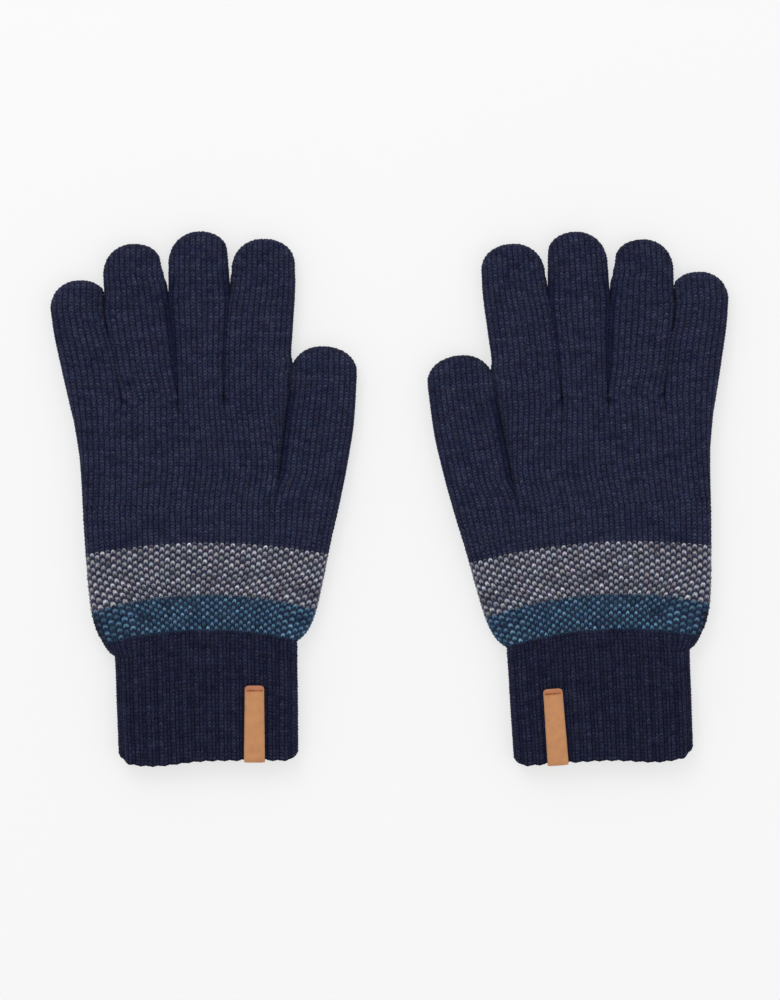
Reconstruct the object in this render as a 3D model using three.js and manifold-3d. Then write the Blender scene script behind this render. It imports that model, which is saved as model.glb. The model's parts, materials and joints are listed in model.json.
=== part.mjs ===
// A pair of knitted gloves lying flat side by side, palms down, fingers pointing along +Y.
// Each glove is a thin-walled tube of knitting: a ribbed cuff, two patterned bands, the plain hand,
// four fingers and a thumb, with a narrow leather label folded over the hem of the cuff.
// Every finger is two shells that meet at its middle fold, so that it can bend there and at its root.
// Millimetres, +Z up; the origin is under the middle of the pair, on the surface they lie on.

import * as THREE from 'three';
import { mergeVertices } from 'three/addons/utils/BufferGeometryUtils.js';
import Module from 'manifold-3d';

const wasm = await Module();
wasm.setup();

// ---------------------------------------------------------------- driving dimensions

const THICKNESS = 12; // height of the soft tube as it lies on the table
const WALL = 1.6; // thickness of the knitted fabric
const EDGE_ROUND = 5; // radius of the tube's side, seen from the end
const JOIN_GAP = 0.3; // between two shells that meet end to end
const FINGER_GAP = 1.5; // between two neighbouring fingers
const OVERRUN = 18; // how far an outline runs on past the place where it is cut

// Levels along the glove, measured from the hem. The bands arch up in the middle of the hand:
// each has its height there and the radius of its arch.
const HEM = 0;
const CUFF_TOP = { middle: 62.3, radius: 185 };
const BLUE_TOP = { middle: 78.6, radius: 185 };
const GREY_TOP = { middle: 102.9, radius: 295 };
const THUMB_ROOT = 120;
const KNUCKLES = 170;

// Creases between the fingers where they leave the hand, from the little finger to the index.
const CREASES = [-65, -40.2, -13.8, 7.5, 38];

// A digit runs from its root, between two edges, to a round tip; it folds again at its middle.
const DIGITS = [
  { name: 'little', root: KNUCKLES, edges: [CREASES[0], CREASES[1]], tip: [-60.9, 212.4], radius: 12.4, middle: 196 },
  { name: 'ring', root: KNUCKLES, edges: [CREASES[1], CREASES[2]], tip: [-34.8, 228.3], radius: 13.8, middle: 204 },
  { name: 'middle', root: KNUCKLES, edges: [CREASES[2], CREASES[3]], tip: [-3.7, 233.4], radius: 14.4, middle: 207 },
  { name: 'index', root: KNUCKLES, edges: [CREASES[3], CREASES[4]], tip: [25.9, 229.7], radius: 14.7, middle: 205 },
  { name: 'thumb', root: THUMB_ROOT, edges: [31.3, 61.4], tip: [55.6, 180.2], radius: 13.8, middle: 156 },
];

const CUFF_HALF_WIDTH = 42;
const LABEL = { centre: 21.9, width: 9.4, thickness: 1.1, front: 36.2, back: 20 };
const STITCH = { width: 7.6, height: 0.6, thickness: 0.5, fromEnd: 1.8 };

// The right glove is the left one mirrored, laid beside it and turned a little towards it.
const RIGHT_GLOVE = { x: 185.2, y: 0.2, lean: THREE.MathUtils.degToRad(4.2) };

// ---------------------------------------------------------------- materials

const yarn = (colour) => new THREE.MeshStandardMaterial({ color: colour, roughness: 0.95, metalness: 0 });

const NAVY_YARN = yarn(0x25273c);
const NAVY_RIB = yarn(0x1e1f31);
const GREY_YARN = yarn(0x74777f);
const BLUE_YARN = yarn(0x2c5a7a);
const LEATHER = new THREE.MeshStandardMaterial({ color: 0xc88e5f, roughness: 0.6, metalness: 0 });
const RUST_THREAD = new THREE.MeshStandardMaterial({ color: 0xa5562c, roughness: 0.8, metalness: 0 });

// ---------------------------------------------------------------- solids

// Turns a closed geometry into a solid that can be joined and cut.
function solidOf(geometry) {
  const bare = geometry.clone();
  bare.deleteAttribute('normal');
  bare.deleteAttribute('uv');
  const merged = mergeVertices(bare, 1e-4);
  return new wasm.Manifold(
    new wasm.Mesh({
      numProp: 3,
      vertProperties: new Float32Array(merged.attributes.position.array),
      triVerts: new Uint32Array(merged.index.array),
    }),
  );
}

// Turns a solid into a named mesh. A side of -1 mirrors it across the glove's length.
function meshOf(name, solid, material, side) {
  const { vertProperties, triVerts } = solid.getMesh();
  const positions = Float32Array.from(vertProperties);
  const triangles = Uint32Array.from(triVerts);
  if (side < 0) {
    for (let i = 0; i < positions.length; i += 3) {
      positions[i] = -positions[i];
    }
    for (let i = 0; i < triangles.length; i += 3) {
      [triangles[i], triangles[i + 1]] = [triangles[i + 1], triangles[i]];
    }
  }
  const geometry = new THREE.BufferGeometry();
  geometry.setAttribute('position', new THREE.BufferAttribute(positions, 3));
  geometry.setIndex(new THREE.BufferAttribute(triangles, 1));
  geometry.computeVertexNormals();
  const mesh = new THREE.Mesh(geometry, material);
  mesh.name = name;
  return mesh;
}

// A soft tube lying flat: an outline seen from above, with rounded sides and a flat top and bottom.
// An inset of one wall gives the hollow inside it.
function pillow(outline, inset) {
  const round = EDGE_ROUND - inset;
  const geometry = new THREE.ExtrudeGeometry(outline, {
    depth: THICKNESS - 2 * EDGE_ROUND,
    bevelThickness: round,
    bevelSize: round,
    bevelOffset: -EDGE_ROUND,
    bevelSegments: 2,
    curveSegments: 4,
  });
  geometry.translate(0, 0, EDGE_ROUND);
  return geometry;
}

// A line across the glove that arches up in the middle, from well outside one side to the other.
function archedLine(level, shift, steps = 12) {
  const reach = 76;
  const points = [];
  for (let i = 0; i <= steps; i++) {
    const x = reach * ((2 * i) / steps - 1);
    points.push(new THREE.Vector2(x, level.middle - (x * x) / (2 * level.radius) + shift));
  }
  return points;
}

const straightLine = (y) => archedLine({ middle: y, radius: Infinity }, 0, 1);

// A block that keeps what lies between two lines across the glove.
function sliceBetween(lower, upper) {
  const outline = new THREE.Shape([...lower, ...upper.reverse()]);
  const block = new THREE.ExtrudeGeometry(outline, { depth: THICKNESS + 4, bevelEnabled: false });
  block.translate(0, 0, -2);
  return solidOf(block);
}

// ---------------------------------------------------------------- outlines

// The cuff, the bands and the hand in one outline, without the digits.
function palmOutline() {
  const [littleEdge, indexEdge] = [CREASES[0], CREASES[4]];
  const [thumbInner] = DIGITS[4].edges;
  const outline = new THREE.Shape();
  outline.moveTo(-CUFF_HALF_WIDTH, HEM - OVERRUN);
  outline.lineTo(-CUFF_HALF_WIDTH - 0.8, 50);
  outline.splineThru([
    new THREE.Vector2(-48.1, 55),
    new THREE.Vector2(-54.2, 69),
    new THREE.Vector2(-58, 110),
    new THREE.Vector2(-60.5, 148),
    new THREE.Vector2(littleEdge, KNUCKLES),
  ]);
  outline.lineTo(littleEdge - 3, KNUCKLES + OVERRUN);
  outline.lineTo(indexEdge + 1, KNUCKLES + OVERRUN);
  outline.lineTo(thumbInner, THUMB_ROOT - 1);
  outline.lineTo(60.2, 116);
  outline.lineTo(57.8, 102.5);
  outline.lineTo(55.9, 96);
  outline.splineThru([
    new THREE.Vector2(53.2, 83),
    new THREE.Vector2(49.6, 68),
    new THREE.Vector2(CUFF_HALF_WIDTH, 55),
  ]);
  outline.lineTo(CUFF_HALF_WIDTH, HEM - OVERRUN);
  outline.closePath();
  return outline;
}

// A digit's outline along its own +Y axis, from below its root to its round tip.
function digitOutline(rootHalfWidth, length, radius) {
  const flare = Math.asin((radius - rootHalfWidth) / length);
  const footHalfWidth = rootHalfWidth - OVERRUN * Math.tan(flare);
  const outline = new THREE.Shape();
  outline.moveTo(-footHalfWidth, -OVERRUN);
  outline.lineTo(footHalfWidth, -OVERRUN);
  outline.absarc(0, length, radius, -flare, Math.PI + flare, false);
  outline.closePath();
  return outline;
}

// The outer form of a digit and the hollow inside it, where they lie on the glove.
function digitForms({ root, edges, tip, radius }) {
  const rootX = (edges[0] + edges[1]) / 2;
  const axis = new THREE.Vector2(tip[0] - rootX, tip[1] - root);
  const lean = Math.atan2(-axis.x, axis.y);
  const rootHalfWidth = ((edges[1] - edges[0]) / 2) * Math.cos(lean) - FINGER_GAP / 2;
  const outline = digitOutline(rootHalfWidth, axis.length(), radius);
  return [0, WALL].map((inset) => {
    const form = pillow(outline, inset);
    form.rotateZ(lean);
    form.translate(rootX, root, 0);
    return solidOf(form);
  });
}

// ---------------------------------------------------------------- sub-parts

// The two shells of one digit, cut at its root and at its middle fold.
function digitShells(digit) {
  const [outer, hollow] = digitForms(digit);
  const shell = outer.subtract(hollow);
  const half = JOIN_GAP / 2;
  return {
    lower: shell.intersect(sliceBetween(straightLine(digit.root + half), straightLine(digit.middle - half))),
    upper: shell.intersect(sliceBetween(straightLine(digit.middle + half), straightLine(digit.tip[1] + OVERRUN))),
  };
}

// The cuff, both bands and the hand, cut from one tube that opens into every digit.
function palmShells() {
  const outline = palmOutline();
  const thumb = DIGITS[4];
  const [thumbOuter, thumbHollow] = digitForms(thumb);
  const half = JOIN_GAP / 2;
  const belowThumb = (shift) => sliceBetween(straightLine(HEM), straightLine(THUMB_ROOT + shift));
  const outer = solidOf(pillow(outline, 0)).add(thumbOuter.intersect(belowThumb(-half)));
  const hollow = solidOf(pillow(outline, WALL)).add(thumbHollow.intersect(belowThumb(half)));
  const shell = outer.subtract(hollow);
  const keep = (lower, upper) => shell.intersect(sliceBetween(lower, upper));
  return {
    cuff: keep(straightLine(HEM), archedLine(CUFF_TOP, -half)),
    blue_band: keep(archedLine(CUFF_TOP, half), archedLine(BLUE_TOP, -half)),
    grey_band: keep(archedLine(BLUE_TOP, half), archedLine(GREY_TOP, -half)),
    hand: keep(archedLine(GREY_TOP, half), straightLine(KNUCKLES - half)),
  };
}

// A leather strip folded over the hem: a long leg on the back of the cuff and a short leg inside it.
function label() {
  const bend = WALL / 2 + JOIN_GAP;
  const middle = THICKNESS - WALL / 2;
  const profile = new THREE.Shape();
  profile.moveTo(LABEL.front, middle + bend);
  profile.lineTo(LABEL.front, middle + bend + LABEL.thickness);
  profile.absarc(HEM, middle, bend + LABEL.thickness, Math.PI / 2, (3 * Math.PI) / 2, false);
  profile.lineTo(LABEL.back, middle - bend - LABEL.thickness);
  profile.lineTo(LABEL.back, middle - bend);
  profile.absarc(HEM, middle, bend, (3 * Math.PI) / 2, Math.PI / 2, true);
  profile.closePath();
  const strip = new THREE.ExtrudeGeometry(profile, { depth: LABEL.width, bevelEnabled: false, curveSegments: 4 });
  // The profile is drawn in Y and Z, and the strip's width runs along X.
  strip.applyMatrix4(new THREE.Matrix4().set(0, 0, 1, 0, 1, 0, 0, 0, 0, 1, 0, 0, 0, 0, 0, 1));
  strip.translate(LABEL.centre - LABEL.width / 2, 0, 0);
  return solidOf(strip);
}

// The row of thread that sews the label down near its upper end.
function labelStitch() {
  const top = THICKNESS + JOIN_GAP + LABEL.thickness;
  const thread = new THREE.BoxGeometry(STITCH.width, STITCH.height, STITCH.thickness);
  thread.translate(LABEL.centre, LABEL.front - STITCH.fromEnd, top + JOIN_GAP + STITCH.thickness / 2);
  return solidOf(thread);
}

// ---------------------------------------------------------------- the gloves

function glove(prefix, side) {
  const group = new THREE.Group();
  const put = (name, solid, material) => group.add(meshOf(`${prefix}_${name}`, solid, material, side));
  const palm = palmShells();
  put('hand', palm.hand, NAVY_YARN);
  put('grey_band', palm.grey_band, GREY_YARN);
  put('blue_band', palm.blue_band, BLUE_YARN);
  put('cuff', palm.cuff, NAVY_RIB);
  for (const digit of DIGITS) {
    const { lower, upper } = digitShells(digit);
    put(`${digit.name}_lower`, lower, NAVY_YARN);
    put(`${digit.name}_upper`, upper, NAVY_YARN);
  }
  put('label', label(), LEATHER);
  put('label_stitch', labelStitch(), RUST_THREAD);
  return group;
}

const pair = new THREE.Group();
const leftGlove = glove('left', 1);
const rightGlove = glove('right', -1);
rightGlove.position.set(RIGHT_GLOVE.x, RIGHT_GLOVE.y, 0);
rightGlove.rotation.z = RIGHT_GLOVE.lean;
pair.add(leftGlove, rightGlove);

// The origin goes under the middle of the pair.
const bounds = new THREE.Box3().setFromObject(pair, true);
const centre = bounds.getCenter(new THREE.Vector3());
pair.position.set(-centre.x, -centre.y, -bounds.min.z);

export default pair;
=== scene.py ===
"""A pair of knitted gloves with ribbed cuffs, patterned bands and leather labels, on a pale floor.

Every knitted piece is one grid of vertices laid over a soft tube. Its columns follow the wales of
the knitting and its rows follow the courses, so that each stitch is real relief. Shapes are worked
out in millimetres in the left glove's own frame (origin at the middle of the hem, +Y towards the
fingertips); the right glove is the same shapes mirrored.
"""

import json
import math

import bmesh
import bpy
import numpy as np
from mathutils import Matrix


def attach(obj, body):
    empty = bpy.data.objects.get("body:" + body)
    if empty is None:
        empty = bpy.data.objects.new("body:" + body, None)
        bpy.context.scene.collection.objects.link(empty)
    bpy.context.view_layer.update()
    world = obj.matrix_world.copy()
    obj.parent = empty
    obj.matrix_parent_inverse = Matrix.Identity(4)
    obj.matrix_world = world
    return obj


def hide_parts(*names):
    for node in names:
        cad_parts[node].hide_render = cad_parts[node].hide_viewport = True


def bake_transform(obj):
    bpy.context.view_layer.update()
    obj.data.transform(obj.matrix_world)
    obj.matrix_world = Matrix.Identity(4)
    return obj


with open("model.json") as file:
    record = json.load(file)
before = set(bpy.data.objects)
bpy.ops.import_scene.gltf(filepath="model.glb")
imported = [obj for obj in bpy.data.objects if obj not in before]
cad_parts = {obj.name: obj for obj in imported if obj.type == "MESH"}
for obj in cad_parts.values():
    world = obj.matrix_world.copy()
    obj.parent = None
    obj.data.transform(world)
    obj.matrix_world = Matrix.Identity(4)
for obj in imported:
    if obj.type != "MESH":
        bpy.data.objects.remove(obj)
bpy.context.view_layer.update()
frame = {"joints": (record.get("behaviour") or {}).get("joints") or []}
scene = bpy.context.scene

# -------- driving dimensions, mm

# A level is a height up the glove from its hem. A stretch is the level where something starts to
# change, and the length over which it does.

# The soft tube that the knitting lies on.
MIDDLE = 5.6  # height of its side seams above the floor
TOP_FACE = (5.9, 0.055)  # from the side seam up to the face, and how uneven the face is
FLOOR_FACE = (5.0, 0.0)  # from the side seam down to the face pressed flat on the floor
FLOOR_CLEARANCE = 0.05
SIDE_DEPTH = 7.5  # how far in from the side the tube is still rounding
SIDE_POWER = 2.4  # 2 is an ellipse, more is squarer
THUMB_SIDE = 0.8  # share of that depth where the hand's side meets the thumb
GROOVE_DEPTH = 5.0  # how far from a crease the face starts to dip into it
CREASE_HEIGHT = 0.52  # height of the bottom of a crease, as a share of the face's height
BEYOND = 4  # how far a tube goes on past its ends
COARSE_STEP = 0.5  # between the cross-sections of the cuff and the hand
FINE_STEP = 0.2  # between those of a digit
SECTION_POINTS = 220  # along the face of a cross-section

COLUMNS = 6  # vertices across a wale
ROWS = 4  # vertices along a course
COURSE = 1.49  # height of a course on the digits
HANG = 1.3  # how far a stitch's sides hang below its middle
HANG_POWER = 2.3  # 2 is a parabola, more is flatter in the middle

# Wales counted along one face, from side seam to side seam.
CUFF_WALES = 48
THUMB_CREASE_WALE = 36
HAND_WALES = 42
EDGE_WALES = 2  # wales that come round the outer edge between the thumb's root and the knuckles
EDGE_CROWD = 0.5  # the room they take at the thumb's root

# The cuff.
CUFF_NECK = 48  # up to this level the ribs are evenly spread
SPLAYED_WALES = 7  # wales on each side that splay out above the neck
SPLAY_END = (62, 30)  # stretch over which the other wales stop running straight on
THUMB_PULL = (70, 50)  # stretch over which the wales are drawn towards the thumb's crease
RIB_END = (52, 9)  # stretch over which the ribs fade out
RIB_REPEAT = 3  # wales in a rib and its furrow
RIB_SQUEEZE = 0.17  # how far the ribs' wales are drawn together, in wales
CUFF_INSIDE = 56.0  # how far up the inside of the cuff is made
INSIDE_STEP = 4.0
HEM_THICKNESS = 1.6
HEM_COURSES = 4  # the lowest courses, which are straighter and follow the ribs
HEM_SIDE = 3.0  # this near to its sides the hem turns inwards instead of down

# The hem, seen from above: its level, its sag on the little finger's side, its lift under the
# label and its rounded corners.
HEM_LEVEL = 2.0
HEM_SAG = dict(drop=2.7, x=-26, width=17)
HEM_UNDER_LABEL = dict(lift=0.8, width=5.5)
HEM_CORNERS = dict(middle=0.4, start=35.5, reach=6.2, lift=5.0)

THUMB_ROOT = 120.0
KNUCKLES = 170.0
CREASES = (-40.2, -13.8, 7.5)  # x of the creases between the fingers, at the knuckles
CREASE_WALES = (10, 20, 29)
CREASE_START = (158, 10)  # stretch over which the creases get their depth
THUMB_CREASE = 31.3  # x of the crease beside the thumb, at its root
INDEX_EDGE = 37.4  # x of the index finger's free edge, at the knuckles
SIDE_OPENS = (140, 25)  # stretch over which the hand's side gets its full depth above the thumb

# Bands arch up in the middle of the hand: height there, and radius of the arch.
CUFF_TOP = (62.3, 185.0)
BLUE_TOP = (78.6, 185.0)
GREY_TOP = (102.9, 295.0)
CUFF_COURSES = 37
BLUE_COURSES = 10
GREY_COURSES = 15
LOWER_HAND_COURSES = 12
UPPER_HAND_COURSES = 35
SPARE_COURSES = 4  # courses that crowd together in a fingertip

# The outline of the body of the glove: (level, x) from the hem to the knuckles.
LEFT_OUTLINE = [(0, -41.0), (30, -42.2), (49.5, -43.0), (51.5, -45.3), (55, -48.1), (62, -52.0),
                (72, -54.6), (104, -57.4), (139, -59.4), (156, -61.8), (170, -65.0), (188, -69.1)]
RIGHT_OUTLINE = [(0, 41.8), (30, 41.6), (56.5, 41.3), (58.5, 43.6), (62, 46.6), (70, 50.1),
                 (83, 53.2), (104, 57.4), (120, 61.1), (139, 64.9)]

# Each digit: its root, the height and depth of its walls there, how far up it grows into a tube
# of its own, how high it is pressed against its neighbour, the wales on its face, the extra wales
# down into the crease on its left and right, its left and right edges as (level, x) up to where
# they start to round over, and its tip.
THUMB_GROWING = 22
FINGER = dict(root=KNUCKLES, wall=CREASE_HEIGHT, wall_depth=GROOVE_DEPTH, growing=14, seam=CREASE_HEIGHT)
DIGITS = {
    "little": dict(FINGER, face=10, inner=(0, 1), tip=(225.0, -59.8),
                   left=[(156, -61.8), (170, -65.0), (188, -69.1), (202, -72.0), (212, -73.3)],
                   right=[(170, -40.2), (190, -44.1), (212, -48.0), (218.5, -48.6)]),
    "ring": dict(FINGER, face=10, inner=(1, 2), tip=(242.0, -34.6),
                 left=[(170, -40.2), (190, -44.1), (214, -48.2), (228, -48.7)],
                 right=[(170, -13.8), (200, -16.5), (222, -19.0), (227, -20.5), (233.7, -22.4)]),
    "middle": dict(FINGER, face=9, inner=(2, 2), tip=(247.8, -3.7),
                   left=[(170, -13.8), (200, -16.5), (222, -18.4), (233, -18.3)],
                   right=[(170, 7.5), (200, 8.9), (222.5, 10.2), (229, 9.7), (238.4, 8.9)]),
    "index": dict(FINGER, face=13, inner=(1, 0), tip=(244.4, 25.9),
                  left=[(170, 7.5), (200, 8.9), (222.5, 10.3), (230, 11.2)],
                  right=[(160, 36.18), (170, 37.4), (180, 38.15), (186, 39.3), (191, 38.7),
                         (202, 39.4), (225, 40.6), (233, 40.3)]),
    "thumb": dict(root=THUMB_ROOT, wall=1.0, wall_depth=SIDE_DEPTH * THUMB_SIDE, growing=THUMB_GROWING,
                  seam=0.2, face=12, inner=(2, 0), tip=(194.2, 53.2),
                  left=[(120, 31.3), (170, 37.45), (180, 38.35)],
                  right=[(120, 61.1), (139, 64.9), (160, 68.1), (182, 69.4)]),
}
TOUCH_GAP = 0.1  # between two fingers lying side by side
GAP_OPENS = (1, 8)  # stretch above the root over which that gap opens
# Stretches measured from the level where a digit starts to round over.
PARTING = (-20, 14)  # it parts from its neighbour
STRAIGHTENING = (-4, 4)  # its wales turn straight up
UNFILLING = (-8, 4)  # its creases are no longer filled
FILLED_WALES = (0.5, 1.2)  # wales from the seam over which the filling ends
SHADED_WALES = (-0.2, 1.0)  # wales from the edge of the face over which the shade ends
LEAST_DEPTH = 0.01
DIGIT_DEPTH = 0.92  # how far in a digit's sides round over, as a share of its half width
CAP_POWER = 2.1  # how square a fingertip is: 2 is an ellipse
TIP_THICKNESS = 0.04  # what is left of a digit's thickness at its tip, as a share
WALES_EVEN = 16  # above its root, where a digit's wales are evenly spread
SPLIT_BELOW_FOLD = 9.0  # a digit's two halves meet this far below its middle fold
FOLD_REACH = 8.0  # distance from a digit's middle fold to the levels taken below and above it
WRIST_BEND = (56, 41)  # two levels of the cuff at the wrist

# Where the fabric is pinched at the roots of the fingers: x, level, slope of the pinch. Each pinch is sunk
# and darkened with painted shade.
PINCHES = [(-38.5, 168.6, -0.5), (-15.6, 168.2, 0.1), (8.2, 170.4, -0.7)]
PINCH_DEPTH = 0.6
TUFT_OFFSET = (1.8, 2.0)  # a small raised tuft sits beside each pinch, lightened with a painted highlight
TUFT_RELIEF = 0.25

# The leather label folded over the hem: places, and the heights of its two legs' middle lines.
LABEL = dict(centre=21.9, width=9.0, widening=0.35, thickness=1.1, corner=1.6, top=36.2, inside_top=20.0,
             turn_level=2.6, front_height=12.8, inside_height=9.1)
LABEL_STEPS = 9  # vertices across the label
LABEL_STEP = 0.4  # between them along its front
LABEL_TURN_STEPS = 15
EDGE_THINNING = 0.45  # what the leather loses of its thickness at its cut edges, as a share
LABEL_HEAD = (-2.4, 0.8)  # stretch below the label's top over which painted shade darkens the leather
STITCHES = 6
STITCH_ROW = 7.8  # length of the row of stitches
STITCH_LINE = 2.3  # below the label's top
STITCH_HEIGHT = 13.28
STITCH_ARCH = 0.3
STITCH_SHARE = 0.94  # what a stitch takes up of the room it has
STITCH_SLANT = 0.12
THREAD_RADIUS = 0.34
THREAD_END = 0.02

# The relief of a stitch. Widths and levels within it are shares of its own.
COLUMN_RELIEF = 0.40  # of a wale over the grooves at its sides
LOOP_RELIEF = 0.38  # of each loop on it
DIP_WIDTH = 0.16  # of the gap between the legs of a loop, sunk and darkened with painted shade
DIP_TOP = 0.4
# Painted shade in the grooves between the wales, as a share of the yarn's colour.
GROOVE_SHADE = 0.30
RIB_RELIEF = 0.27  # of the ribs over the furrows, up and down
BEAD_GROUND = 0.18  # the same two for the beads of the bands
BEAD_RELIEF = 0.6
NOTCH_WIDTH = 0.2

# How the knitting varies.
FIBRE_TONE = 0.3  # how uneven the yarn's brightness is from one tuft of fibres to the next
FIBRE_RELIEF = 0.025  # and how rough its surface is
STITCH_TONE = 0.13  # how uneven the brightness is from one stitch to the next
BEAD_TONE = 0.22  # the same for the light beads
STITCH_RELIEF = 0.05  # how uneven the height of the stitches is
LOOSENESS = 0.10  # how far a stitch may be out of place
SCALLOP = 0.13  # how far the ribs hang down at the hem, in courses
BEAD_SPAN = 1.1  # how much of two courses a bead covers
TIP_CROWDING = 2.0  # over this height below a fingertip the courses crowd together
RELIEF_LEVEL = 0.35  # relief of this height lies level with the tube
CROWDED_WIDTH = 0.5  # it fades where three columns are crowded into less than this
FILLED_HEIGHT = 0.48  # relief where stitches are pressed together in a crease
SEAM_SHADE = 0.5  # and how much darker they look
CROTCH_FILLED = 0.9  # half widths of both at the top of the hand
CROTCH_SHADED = 1.6
BARE_WALES = (1, 1.5)  # the bands' beads start over these wales from the left seam
BARE_LEVELS = (66, 4)  # except above this stretch; below it the blue band's lower corner, where the fabric turns under, is also darkened with painted shade

SEEDS = dict(cuff=11, blue_band=21, grey_band=25, lower_hand=31, upper_hand=32)

# Yarn and leather colours, linear.
NAVY = np.array([0.0200, 0.0228, 0.0480])
RIB_NAVY = np.array([0.0145, 0.0162, 0.0365])
GREY = np.array([0.270, 0.268, 0.300])
BLUE = np.array([0.034, 0.112, 0.188])
SHADE_TONE_TINT = np.array([1.0, 0.95, 0.62])  # where painted shade and tone darken the yarn it turns bluer, and where they lighten it, paler
RIM_LIGHT = np.array([0.050, 0.056, 0.058])  # painted highlight on the fuzz along the top of each bead
BLEED = 0.06  # how much of the light yarn shows between its beads
INSIDE_SHADE = 0.55
LEATHER_TAN = np.array([0.52, 0.232, 0.094])
LEATHER_EDGE = np.array([0.50, 0.240, 0.110])
SHADED_LEATHER_TOP = np.array([0.46, 0.180, 0.085])
RUST = np.array([0.36, 0.095, 0.030])

# The light and the view from above, metres and watts.
FLOOR_GREY = 0.32
FLOOR_GLOW = 0.61
WORLD_LIGHT = 0.77
KEY_LIGHT = dict(location=(-0.5, 1.0, 1.3), size=1.0, power=7.5)
FILL_LIGHT = dict(location=(1.2, -0.3, 1.4), size=1.2, power=2.8)
VIEW_OFFSET = np.array([0.0850, 0.1226])  # from the left glove's hem to the middle of the view
VIEW_HEIGHT = 0.467  # what the picture's height spans at the gloves
CAMERA_HEIGHT = 2.2
WELD = 0.00003  # vertices nearer than this become one
SENSOR = 24  # mm


# -------- small helpers

def ramp(t):
    """0 below 0, 1 above 1, smooth between."""
    t = np.clip(t, 0, 1)
    return t * t * (3 - 2 * t)


def rising(y, stretch):
    """0 below a stretch, 1 above it."""
    return ramp((y - stretch[0]) / stretch[1])


def through(points, y):
    """A smooth curve x(y) through a few (y, x) points, going straight on beyond them."""
    ys = np.array([p[0] for p in points], float)
    xs = np.array([p[1] for p in points], float)
    rise = np.diff(xs) / np.diff(ys)
    product = rise[:-1] * rise[1:]
    total = rise[:-1] + rise[1:]
    inner = np.where(product > 0, 2 * product / np.where(total == 0, 1, total), 0)
    slope = np.concatenate([rise[:1], inner, rise[-1:]])
    y = np.asarray(y, float)
    inside = np.clip(y, ys[0], ys[-1])
    i = np.clip(np.searchsorted(ys, inside, side="right") - 1, 0, len(ys) - 2)
    h = ys[i + 1] - ys[i]
    t = (inside - ys[i]) / h
    x = ((1 + 2 * t) * (1 - t) ** 2 * xs[i] + t * (1 - t) ** 2 * h * slope[i]
         + t * t * (3 - 2 * t) * xs[i + 1] + t * t * (t - 1) * h * slope[i + 1])
    above = np.where(y > ys[-1], (y - ys[-1]) * slope[-1], 0)
    below = np.where(y < ys[0], (y - ys[0]) * slope[0], 0)
    return x + above + below


def waves(x, y):
    """Soft unevenness of the fabric, about -1 to 1, the same wherever two pieces meet."""
    return (0.45 * np.sin(x / 8.1 + 0.6 * np.sin(y / 13.0)) * np.sin(y / 17.0 + 1.3)
            + 0.35 * np.sin(x / 14.3 - y / 11.2 + 2.1) + 0.25 * np.sin(x / 4.7 + y / 6.3)
            + 0.2 * np.sin(y / 5.1 - x / 9.7 + 0.5))


def flat(level):
    """A straight line across the glove: its level as a function of x."""
    return lambda x: level + 0 * x


def arched(line):
    """A line that arches up in the middle of the hand, from its height there and its radius."""
    return lambda x: line[0] - x * x / (2 * line[1])


# -------- the soft tube

def face_section(y, left, right, face, corners, depths, grooves=(), counted=(1, 1)):
    """Half a cross-section at level y: x, height above the side seam, and yarn length along it.

    It runs from the left seam up its wall, over the face and down to the right seam. A corner is
    the height of the wall as a share of the face's height, and grooves are (x, height) of creases.
    Stitches stretch down into a crease: the length leaves out the slopes of a groove, and counts
    the slope at each side by the given share.
    """
    crowd = (1 - np.cos(np.linspace(0, math.pi, SECTION_POINTS))) / 2
    x = left + (right - left) * crowd
    for groove_x, _ in grooves:
        x = np.union1d(x, groove_x + GROOVE_DEPTH * crowd)
        x = np.union1d(x, groove_x - GROOVE_DEPTH * crowd)
    x = x[(x >= left) & (x <= right)]

    def rise(distance, depth, low):
        away = 1 - np.clip(distance / depth, 0, 1)
        return low + (1 - low) * (1 - away ** SIDE_POWER) ** (1 / SIDE_POWER)

    share = np.minimum(rise(x - left, depths[0], corners[0]), rise(right - x, depths[1], corners[1]))
    slopes = np.ones_like(x)
    slopes[x - left < depths[0]] = counted[0]
    slopes[right - x < depths[1]] = counted[1]
    for groove_x, low in grooves:
        share = np.minimum(share, rise(np.abs(x - groove_x), GROOVE_DEPTH, low))
        slopes[np.abs(x - groove_x) < GROOVE_DEPTH] = 0
    height, uneven = face
    z = height * share * (1 + uneven * waves(x, y))
    x = np.concatenate([[left], x, [right]])
    z = np.concatenate([[0], z, [0]])
    slopes = np.concatenate([[1], slopes[1:], [1]])
    along = np.concatenate([[0], np.cumsum(np.hypot(np.diff(x), np.diff(z) * slopes))])
    return x, z, along


def tube(levels, wales, section, spread):
    """The tube's surface: its levels, and tables of x and z with a row for each level.

    section gives half a cross-section, and spread the places of the columns along it; u is the
    number of wales from the left seam to each column of one face.
    """
    u = np.arange(wales * COLUMNS + 1) / COLUMNS
    xs, zs = [], []
    for y in levels:
        loop_x, loop_z = [], []
        for face, sign in ((TOP_FACE, 1), (FLOOR_FACE, -1)):
            x, z, along = section(y, face)
            at = spread(y, u, x, along)
            loop_x.append(np.interp(at, along, x))
            loop_z.append(MIDDLE + sign * np.interp(at, along, z))
        xs.append(np.concatenate([loop_x[0][:-1], loop_x[1][:0:-1]]))
        zs.append(np.concatenate([loop_z[0][:-1], loop_z[1][:0:-1]]))
    return np.array(levels), np.array(xs), np.array(zs)


def on_tube(surface, y):
    """The tube's x and z at level y for every column; y has one column for each of the tube's."""
    levels, xs, zs = surface
    place = np.clip((y - levels[0]) / (levels[1] - levels[0]), 0, len(levels) - 1.001)
    low = place.astype(int)
    part = place - low
    column = np.arange(xs.shape[1])[None, :]
    x = xs[low, column] * (1 - part) + xs[low + 1, column] * part
    z = zs[low, column] * (1 - part) + zs[low + 1, column] * part
    return x, z


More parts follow.
